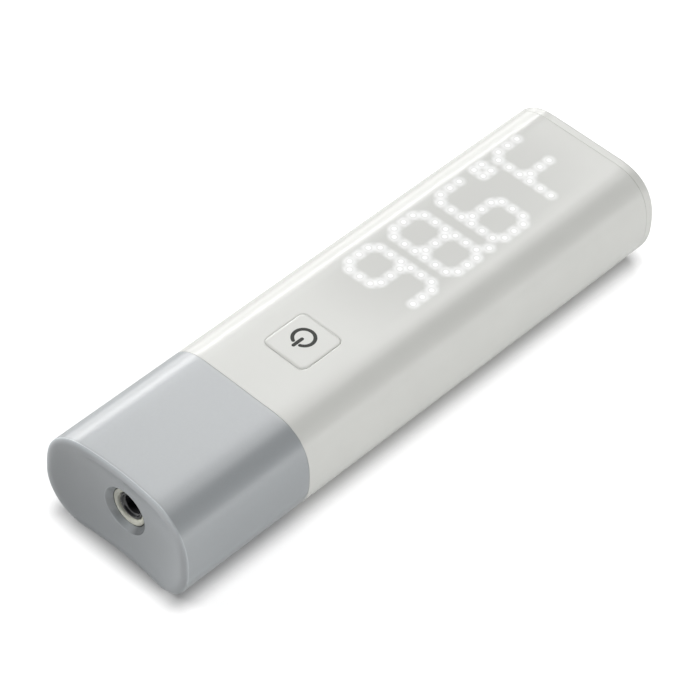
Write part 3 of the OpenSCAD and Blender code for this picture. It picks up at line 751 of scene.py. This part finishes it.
def lit_dots():
    """Every lit dot of the reading 98.6 with its degree sign and unit."""
    left, right = ["upper_left", "lower_left"], ["upper_right", "lower_right"]
    level = ["top", "middle", "bottom"]
    nine = figure(NINE, level + right + ["upper_left"])
    eight = figure(EIGHT, level + right + left)
    six = figure(SIX, level + left + ["lower_right"])
    unit = figure(UNIT, ["top", "middle"] + left)
    point = np.array([[X_TAIL - POINT_BACK, DIGIT_Y - POINT_DROP]])
    square = np.array([[-1, 0], [1, 0], [-1, -DEGREE_DROP], [1, -DEGREE_DROP]]) * DEGREE_STEP
    degree = square + [X_TAIL - DEGREE_BACK, DIGIT_Y + DEGREE_RISE]
    return np.vstack([nine, eight, six, unit, point, degree])


def mark_dots(sleeve):
    """Stores on each face corner its offset, in millimetres, from the two nearest lit dots."""
    mesh = sleeve.data
    dots = lit_dots()
    place = points_of(mesh)[numbers_of(mesh.loops, "vertex_index")] / MM
    starts = numbers_of(mesh.polygons, "loop_start")
    counts = numbers_of(mesh.polygons, "loop_total")
    face = np.repeat(np.arange(len(starts)), counts)
    middle = np.add.reduceat(place, starts) / counts[:, None]
    apart = np.linalg.norm(middle[:, None, :2] - dots[None], axis=2)
    nearest = np.argsort(apart, axis=1)[:, :2]
    on_top = (middle[:, 2] > TOP - WALL / 2) & (apart.min(axis=1) < 2 * GLOW_REACH)
    for k, name in enumerate(("near_dot", "next_dot")):
        offset = np.zeros((len(place), 3))
        offset[:, :2] = np.where(
            on_top[face][:, None], place[:, :2] - dots[nearest[face, k]], FAR_AWAY)
        layer = mesh.attributes.new(name, "FLOAT_VECTOR", "CORNER")
        layer.data.foreach_set("vector", offset.ravel())


def mark_shade(sleeve):
    """Stores on each point how dark the field round the lit dots is there."""
    points = points_of(sleeve.data) / MM
    crowd = np.linalg.norm(points[:, None, :2] - lit_dots()[None], axis=2) / SHADE_REACH
    shade = 1 - np.exp(-SHADE_RISE * np.exp(-crowd ** 2).sum(axis=1))
    shade *= np.interp(np.abs(points[:, 1] - DIGIT_Y), SHADE_EDGE, (1, 0))
    shade[points[:, 2] < TOP - WALL / 2] = 0
    layer = sleeve.data.attributes.new("window_shade", "FLOAT", "POINT")
    layer.data.foreach_set("value", shade)


# Materials

class Nodes:
    """Small helper that adds and links the nodes of one material or world."""

    def __init__(self, owner):
        owner.use_nodes = True
        self.owner = owner
        self.tree = owner.node_tree
        self.shader = self.tree.nodes.get("Principled BSDF")

    def add(self, kind, values=None, **settings):
        """New node of a kind, with its settings and what its inputs take."""
        node = self.tree.nodes.new("ShaderNode" + kind)
        for key, value in settings.items():
            setattr(node, key, value)
        for key, value in (values or {}).items():
            self.feed(node.inputs[key], value)
        return node

    def feed(self, socket, value):
        """Links a socket to another, or sets its plain value."""
        if isinstance(value, bpy.types.NodeSocket):
            self.tree.links.new(value, socket)
        else:
            socket.default_value = value

    def set(self, **values):
        """Feeds inputs of the shader, named with underscores for spaces."""
        for key, value in values.items():
            self.feed(self.shader.inputs[key.replace("_", " ")], value)

    def place(self):
        return self.add("TexCoord").outputs["Object"]

    def along(self, axis, vector):
        return self.add("SeparateXYZ", {0: vector}).outputs[axis]

    def noise(self, size_mm, detail=3, stretch=None):
        """Noise of a real size, optionally stretched along an axis."""
        vector = self.place()
        if stretch:
            vector = self.add("Mapping", {"Vector": vector, "Scale": stretch}).outputs[0]
        values = {"Vector": vector, "Scale": 1 / (size_mm * MM), "Detail": detail}
        return self.add("TexNoise", values).outputs["Fac"]

    def ramp(self, factor, *stops, blend="LINEAR"):
        """Colour ramp of (position, colour) stops."""
        node = self.add("ValToRGB", {"Fac": factor})
        node.color_ramp.interpolation = blend
        elements = node.color_ramp.elements
        while len(elements) < len(stops):
            elements.new(1)
        for element, (position, colour) in zip(elements, stops):
            element.position = position
            element.color = (*colour, 1)
        return node.outputs["Color"]

    def shades(self, noise, colour, low, high):
        """Colour that a noise varies between two strengths of itself."""
        dark, light = tint(colour, low), tint(colour, high)
        return self.ramp(noise, (NOISE_SPAN[0], dark), (NOISE_SPAN[1], light))

    def between(self, factor, low, high, start=0.0, end=1.0, blend="LINEAR"):
        """Maps a factor from start..end to low..high."""
        values = {"Value": factor, "From Min": start, "From Max": end, "To Min": low, "To Max": high}
        return self.add("MapRange", values, interpolation_type=blend).outputs["Result"]

    def math(self, operation, *terms):
        return self.add("Math", dict(enumerate(terms)), operation=operation).outputs[0]

    def mix(self, factor, a, b):
        """Mix of two colours, each a socket or plain."""
        node = self.add("Mix", {"Factor": factor}, data_type="RGBA")
        for socket, colour in ((node.inputs[6], a), (node.inputs[7], b)):
            self.feed(socket, colour if isinstance(colour, bpy.types.NodeSocket) else (*colour, 1))
        return node.outputs[2]

    def bump(self, height, depth_mm):
        values = {"Height": height, "Distance": depth_mm * MM}
        self.set(Normal=self.add("Bump", values).outputs["Normal"])


def new_nodes(name):
    """Nodes of a new material."""
    return Nodes(bpy.data.materials.new(name))


def tint(colour, factor):
    """Colour at another strength."""
    return tuple(min(1.0, c * factor) for c in colour)


def grain(nodes, rough, grain_mm, depth_mm):
    """Fine moulded grain, with a slight change of gloss."""
    fine = nodes.noise(grain_mm, detail=4)
    low, high = rough * (1 - GRAIN_SPREAD), rough * (1 + GRAIN_SPREAD)
    nodes.set(Roughness=nodes.between(fine, low, high, *NOISE_SPAN))
    nodes.bump(fine, depth_mm)


def plastic(name, colour, rough, grain_mm=0.25, depth_mm=0.002, spread=0.03, **values):
    """Moulded plastic with a fine grain and a slight drift of tone."""
    nodes = new_nodes(name)
    drift = nodes.noise(size_mm=9, detail=2)
    nodes.set(Base_Color=nodes.shades(drift, colour, 1 - spread, 1 + spread), **values)
    grain(nodes, rough, grain_mm, depth_mm)
    return nodes


def metal(name, colour, rough, stretch=(1, 1, 1)):
    """Plated or drawn metal with fine lines along one axis."""
    nodes = new_nodes(name)
    lines = nodes.noise(size_mm=0.3, detail=5, stretch=stretch)
    nodes.set(Base_Color=nodes.shades(lines, colour, low=0.9, high=1.06), Metallic=1.0)
    low, high = rough * (1 - LINE_SPREAD), rough * (1 + LINE_SPREAD)
    nodes.set(Roughness=nodes.between(lines, low, high, *NOISE_SPAN))
    nodes.bump(lines, depth_mm=0.002)
    return nodes


def shell_material(name, lit=False):
    """Satin white shell; the sleeve also glows over its lit dots."""
    nodes = new_nodes(name)
    white = (0.80, 0.805, 0.77)
    fine = nodes.noise(size_mm=0.22, detail=4)
    tone = nodes.shades(nodes.noise(size_mm=14, detail=2), white, low=0.985, high=1.015)
    if lit:
        shade = nodes.add("Attribute", attribute_name="window_shade").outputs["Fac"]
        tone = nodes.mix(shade, tone, tint(white, SHADE_TINT))
        nodes.set(Emission_Color=glow(nodes), Emission_Strength=1.0)
        nodes.owner.cycles.emission_sampling = "NONE"
    satin = nodes.between(fine, 0.18, 0.22, *NOISE_SPAN)
    nodes.set(Base_Color=tone, Roughness=satin, Specular_IOR_Level=0.5)
    nodes.bump(fine, depth_mm=0.0012)
    return nodes


def glow(nodes):
    """Light of the dots seen through the shell: bright core, faint ring, halo and bridges."""
    reaches, lights = [], []
    for name in ("near_dot", "next_dot"):
        offset = nodes.add("Attribute", attribute_name=name).outputs["Vector"]
        away = nodes.add("VectorMath", {0: offset}, operation="LENGTH").outputs["Value"]
        halo = nodes.between(away, HALO_LIGHT, 0.0, *HALO_FADE, "SMOOTHSTEP")
        core = nodes.between(away, CORE_LIGHT, 0.0, *CORE_FADE, "SMOOTHSTEP")
        dip = nodes.math("ABSOLUTE", nodes.math("SUBTRACT", away, DIP_R))
        dip = nodes.between(dip, -DIP_DEPTH, 0.0, *DIP_FADE, "SMOOTHSTEP")
        lights.append(nodes.math("ADD", nodes.math("ADD", halo, core), dip))
        reaches.append(away)
    bridge = nodes.between(nodes.math("ADD", *reaches), BRIDGE_LIGHT, 0.0, *BRIDGE_FADE, "SMOOTHSTEP")
    total = nodes.math("ADD", nodes.math("ADD", *lights), bridge)
    blue = nodes.math("MULTIPLY", total, GLOW_BLUE)
    return nodes.add("CombineColor", {0: total, 1: total, 2: blue}).outputs["Color"]


def nose_material():
    """Cool grey plastic of the nose, with painted highlights and painted shade from its stored tone;
    where that paints shade it is also less glossy.
    """
    nodes = new_nodes("nose_grey")
    grey = (0.42, 0.445, 0.46)
    # pale is a painted highlight and deep a painted shade of the same grey
    pale, deep = tint(grey, 1.75), tint(grey, 0.42)
    fine = nodes.noise(size_mm=0.3, detail=5)
    tone = nodes.shades(nodes.noise(size_mm=0.55, detail=2), grey, low=0.988, high=1.012)
    rim = nodes.add("Attribute", attribute_name="painted_light_and_shade").outputs["Fac"]
    tone = nodes.mix(nodes.between(rim, 0, 1, start=PLAIN_TONE, end=1), tone, pale)
    tone = nodes.mix(nodes.between(rim, 1, 0, start=0, end=PLAIN_TONE), tone, deep)
    gloss = nodes.between(rim, 0.2, 1.0, start=0, end=PLAIN_TONE)
    nodes.set(Base_Color=tone, IOR=1.58, Specular_IOR_Level=gloss)
    nodes.set(Roughness=nodes.between(fine, 0.276, 0.284, *NOISE_SPAN))
    nodes.bump(fine, depth_mm=0.0003)
    return nodes


def ring_material():
    """Cream plastic of the sensor ring, with painted shade that darkens it towards its -Y side."""
    nodes = new_nodes("ring_cream")
    aside = nodes.along("Y", nodes.place())
    share = nodes.between(aside, 0, 1, start=-SEAT_R * MM, end=SEAT_R * MM)
    # painted shade: the cream darkens towards the -Y side
    tone = nodes.ramp(share, (0.1, (0.7, 0.7, 0.6)), (0.9, (0.97, 0.97, 0.86)))
    speck = nodes.ramp(share, (0.1, (0.68, 0.68, 0.58)), (0.9, (0.95, 0.95, 0.84)))
    nodes.set(Base_Color=nodes.mix(nodes.noise(size_mm=0.4), tone, speck))
    grain(nodes, rough=0.42, grain_mm=0.2, depth_mm=0.002)
    return nodes


def board_material():
    """Green solder mask over copper tracks."""
    nodes = new_nodes("board_green")
    black, white = (0, 0, 0, 1), (1, 1, 1, 1)
    pitch_mm, track_share = 8, 0.018
    tracks = nodes.add("TexBrick", {
        "Vector": nodes.place(), "Scale": 1 / (pitch_mm * MM), "Mortar Size": track_share,
        "Color1": black, "Color2": black, "Mortar": white}).outputs["Color"]
    dark, light, copper = (0.012, 0.115, 0.045), (0.018, 0.15, 0.06), (0.06, 0.27, 0.10)
    mask = nodes.ramp(nodes.noise(size_mm=3), (NOISE_SPAN[0], dark), (NOISE_SPAN[1], light))
    nodes.set(Base_Color=nodes.mix(tracks, mask, copper))
    nodes.set(Roughness=nodes.between(nodes.noise(size_mm=0.6), 0.25, 0.4))
    nodes.bump(tracks, depth_mm=0.02)
    return nodes


def cell_material():
    """Printed battery jacket with steel ends and two pale bands."""
    nodes = new_nodes("cell_jacket")
    blue, pale, steel = (0.035, 0.13, 0.33), (0.55, 0.58, 0.6), (0.62, 0.63, 0.64)
    along = nodes.along("X", nodes.place())
    share = nodes.between(along, 0, 1, start=CELL_LOW[0] * MM, end=CELL_HIGH[0] * MM)
    bands = ((0, blue), (0.16, pale), (0.2, blue), (0.8, pale), (0.84, blue))
    jacket = nodes.ramp(share, *bands, blend="CONSTANT")
    facing = nodes.along("X", nodes.add("NewGeometry").outputs["Normal"])
    end = nodes.between(nodes.math("ABSOLUTE", facing), 0, 1, start=0.8, end=0.9)
    wear = nodes.noise(size_mm=0.8, detail=4)
    nodes.set(Base_Color=nodes.mix(end, jacket, steel), Metallic=end)
    nodes.set(Roughness=nodes.between(wear, 0.26, 0.4))
    nodes.bump(wear, depth_mm=0.006)
    return nodes


def led_material():
    """Clear resin of the LEDs, with a faint light from the die."""
    nodes = plastic("led_white", (0.9, 0.88, 0.72), 0.25)
    dim, bright = (0.5, 0.5, 0.48), (1, 1, 0.96)
    spot = nodes.noise(size_mm=0.5, detail=1)
    light = nodes.ramp(spot, (NOISE_SPAN[0], dim), (NOISE_SPAN[1], bright))
    nodes.set(Emission_Color=light, Emission_Strength=1.0)
    nodes.owner.cycles.emission_sampling = "NONE"
    return nodes


def make_materials():
    """Material of each slot of the record, and that of the lit sleeve."""
    black = dict(rough=0.45, grain_mm=0.2)
    made = {
        "mark_grey": plastic(
            "mark_grey", (0.064, 0.066, 0.06), 0.55, 0.15, 0.003, 0.06, Specular_IOR_Level=0.2),
        "switch_black": plastic("switch_black", (0.02, 0.02, 0.022), **black),
        "plunger_buff": plastic("plunger_buff", (0.5, 0.4, 0.2), 0.4),
        "frame_plastic": plastic("frame_plastic", (0.66, 0.66, 0.63), 0.5, 0.4, 0.004),
        "baffle_white": plastic("baffle_white", (0.82, 0.82, 0.81), 0.55),
        "film_white": plastic("film_white", (0.84, 0.84, 0.82), 0.5, 0.1),
        "chip_black": plastic("chip_black", (0.015, 0.015, 0.016), 0.55, 0.15),
        "ferrite": plastic("ferrite", (0.035, 0.035, 0.037), 0.7, 0.2, 0.01),
        "ceramic_tan": plastic("ceramic_tan", (0.36, 0.22, 0.1), 0.35, 0.3),
        "steel": metal("steel", (0.62, 0.63, 0.65), 0.28, (0.1, 1, 1)),
        "barrel_black": plastic(
            "barrel_black", (0.05, 0.05, 0.053), 0.2, 0.3, 0.001, Specular_IOR_Level=1.0),
        "gasket_rubber": plastic("gasket_rubber", (0.02, 0.02, 0.02), 0.8, 0.15, 0.008),
        "holder_black": plastic("holder_black", (0.018, 0.018, 0.02), **black),
        "window_dark": plastic("window_dark", (0.02, 0.022, 0.03), 0.08, 0.5, 0.0005),
        "can_nickel": metal("can_nickel", (0.6, 0.59, 0.57), 0.25, (1, 0.2, 0.2)),
        "pin_gold": metal("pin_gold", (0.75, 0.52, 0.2), 0.25, (0.1, 1, 1)),
        "ribbon_amber": plastic("ribbon_amber", (0.5, 0.22, 0.03), 0.3, 0.4),
        "screw_steel": metal("screw_steel", (0.6, 0.61, 0.63), 0.3),
        "shell_white": shell_material("shell_white"),
        "lit_shell": shell_material("lit_shell", lit=True),
        "button_white": shell_material("button_white"),
        "nose_grey": nose_material(),
        "ring_cream": ring_material(),
        "board_green": board_material(),
        "cell_jacket": cell_material(),
        "led_white": led_material(),
    }
    return {slot: nodes.owner for slot, nodes in made.items()}


# Stage, light and camera

def seen_rays(nodes, seen, mirrored):
    """One strength for camera rays, one for glossy and transmission rays, else 0."""
    path = nodes.add("LightPath").outputs
    direct = nodes.math("MULTIPLY", path["Is Camera Ray"], seen)
    mirror = nodes.math("MAXIMUM", path["Is Glossy Ray"], path["Is Transmission Ray"])
    return nodes.math("MAXIMUM", direct, nodes.math("MULTIPLY", mirror, mirrored))


def floor_material():
    """White where it is seen away from the object; under and beside it the real shadow is deepened by
    a painted shadow.
    """
    nodes = new_nodes("floor_white")
    sky = {"Distance": SHADOW_REACH * MM}
    open_sky = nodes.add("AmbientOcclusion", sky, samples=SKY_SAMPLES).outputs["AO"]
    foot = (FOOT_LENGTH / 2 * MM, FOOT_WIDTH / 2 * MM, 1)
    beside = nodes.add("VectorMath", {0: nodes.place()}, operation="ABSOLUTE").outputs[0]
    beside = nodes.add("VectorMath", {0: beside, 1: foot}, operation="SUBTRACT").outputs[0]
    beside = nodes.add("VectorMath", {0: beside, 1: (0, 0, 0)}, operation="MAXIMUM").outputs[0]
    away = nodes.add("VectorMath", {0: beside}, operation="LENGTH").outputs["Value"]
    fade = nodes.between(away, 0, 1, SHADOW_FADE[0] * MM, SHADOW_FADE[1] * MM, "SMOOTHSTEP")
    # Painted shadow: the floor's own light towards the camera fades near the footprint and where the
    # sky is hidden
    lift = nodes.math("MINIMUM", nodes.between(open_sky, 0, 1, *SHADOW_RAMP), fade)
    strength = nodes.math("MULTIPLY", seen_rays(nodes, FLOOR_LIFT, FLOOR_GLOSS), lift)
    seen = nodes.add("LightPath").outputs["Is Camera Ray"]
    nodes.set(Base_Color=nodes.between(seen, FLOOR_TONE, FLOOR_SHADE), Roughness=0.9)
    nodes.set(Specular_IOR_Level=0.0, Emission_Color=(1, 1, 1, 1), Emission_Strength=strength)
    return nodes.owner


def make_floor():
    """Pale floor that is white where it is seen, with the object's soft shadow partly real and partly
    painted.
    """
    mesh = bpy.data.meshes.new("floor")
    plan = ((-1, -1), (1, -1), (1, 1), (-1, 1))
    points = [(FLOOR_SIDE * x, FLOOR_SIDE * y, -FLOOR_DROP) for x, y in plan]
    mesh.from_pydata(points, [], [(0, 1, 2, 3)])
    floor = bpy.data.objects.new("floor", mesh)
    bpy.context.scene.collection.objects.link(floor)
    mesh.materials.append(floor_material())


def make_world():
    """Studio that is white where it is seen, up to a soft horizon, and dark overhead."""
    world = bpy.data.worlds.new("studio")
    bpy.context.scene.world = world
    nodes = Nodes(world)
    background = nodes.tree.nodes["Background"].inputs
    height = nodes.along("Z", nodes.add("TexCoord").outputs["Generated"])
    horizon = nodes.between(height, 1, 0, *HORIZON)
    background["Color"].default_value = (1, 1, 1, 1)
    nodes.feed(background["Strength"], nodes.math("MULTIPLY", seen_rays(nodes, 1.0, 1.0), horizon))


def make_lights():
    """Soft studio boxes round the object, all aimed at its middle."""
    aim = Vector((0, 0, TOP / 2 * MM))
    for name, (azimuth, elevation, width, height, power) in {**SOFTBOXES, **FILLS}.items():
        around, above = math.radians(azimuth), math.radians(elevation)
        towards = Vector((
            math.cos(around) * math.cos(above), math.sin(around) * math.cos(above), math.sin(above)))
        light = bpy.data.lights.new(name, "AREA")
        light.shape = "RECTANGLE"
        light.size, light.size_y = width, height
        light.energy = power
        box = bpy.data.objects.new(name, light)
        box.visible_glossy = name in SOFTBOXES
        box.location = aim + towards * BOX_DISTANCE
        box.rotation_euler = towards.to_track_quat("Z", "Y").to_euler()
        bpy.context.scene.collection.objects.link(box)


def make_camera():
    """Camera at the photograph's place, turned by its small roll."""
    azimuth, elevation, roll = (
        math.radians(v) for v in (CAMERA_AZIMUTH, CAMERA_ELEVATION, CAMERA_ROLL))
    back = Vector((
        math.sin(azimuth) * math.cos(elevation),
        -math.cos(azimuth) * math.cos(elevation),
        math.sin(elevation)))
    level = Vector((math.cos(azimuth), math.sin(azimuth), 0))
    upright = back.cross(level)
    right = math.cos(roll) * level + math.sin(roll) * upright
    up = back.cross(right)
    data = bpy.data.cameras.new("camera")
    data.sensor_fit = "HORIZONTAL"
    data.sensor_width = SENSOR_WIDTH
    data.lens = FOCAL_PIXELS * SENSOR_WIDTH / IMAGE_PIXELS
    data.clip_start, data.clip_end = CLIP_METRES
    camera = bpy.data.objects.new("camera", data)
    matrix = Matrix((right, up, back)).transposed().to_4x4()
    matrix.translation = (Vector(CAMERA_TARGET) + CAMERA_DISTANCE * back) * MM
    camera.matrix_world = matrix
    bpy.context.scene.collection.objects.link(camera)
    bpy.context.scene.camera = camera


# Assembly

def dress(piece, material, body, slot, *nodes):
    """Gives a piece its material and its body, and hides the CAD nodes that it stands for; the slot is
    not used.
    """
    piece.data.materials.clear()
    piece.data.materials.append(material)
    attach(piece, body)
    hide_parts(*nodes)


def main():
    """Finishes the CAD nodes, puts the modelled pieces over them and sets the stage."""
    bpy.context.scene.view_settings.view_transform = "Standard"
    for material in list(bpy.data.materials):
        bpy.data.materials.remove(material)
    made = make_materials()
    slots = {part["node"]: part["material_slot"] for part in frame["record"]["subparts"]}
    for name, node in frame["nodes"].items():
        node.data.materials.clear()
        node.data.materials.append(made[slots[name]])

    sleeve = make_sleeve()
    mark_dots(sleeve)
    mark_shade(sleeve)
    dress(sleeve, made["lit_shell"], "body", "shell_white", "sleeve")
    dress(make_nose(), made["nose_grey"], "body", "nose_grey", "nose_cap")
    dress(make_ring(), made["ring_cream"], "body", "ring_cream", "sensor_ring")
    dress(make_barrel(), made["barrel_black"], "body", "barrel_black", "sensor_barrel")
    dress(make_button(), made["button_white"], "button", "button_white", "button_cap")
    dress(make_icon(), made["mark_grey"], "button", "mark_grey", "power_icon")
    dress(make_tail(), made["shell_white"], "tail", "shell_white", "tail_cap")

    make_floor()
    make_world()
    make_lights()
    make_camera()


main()
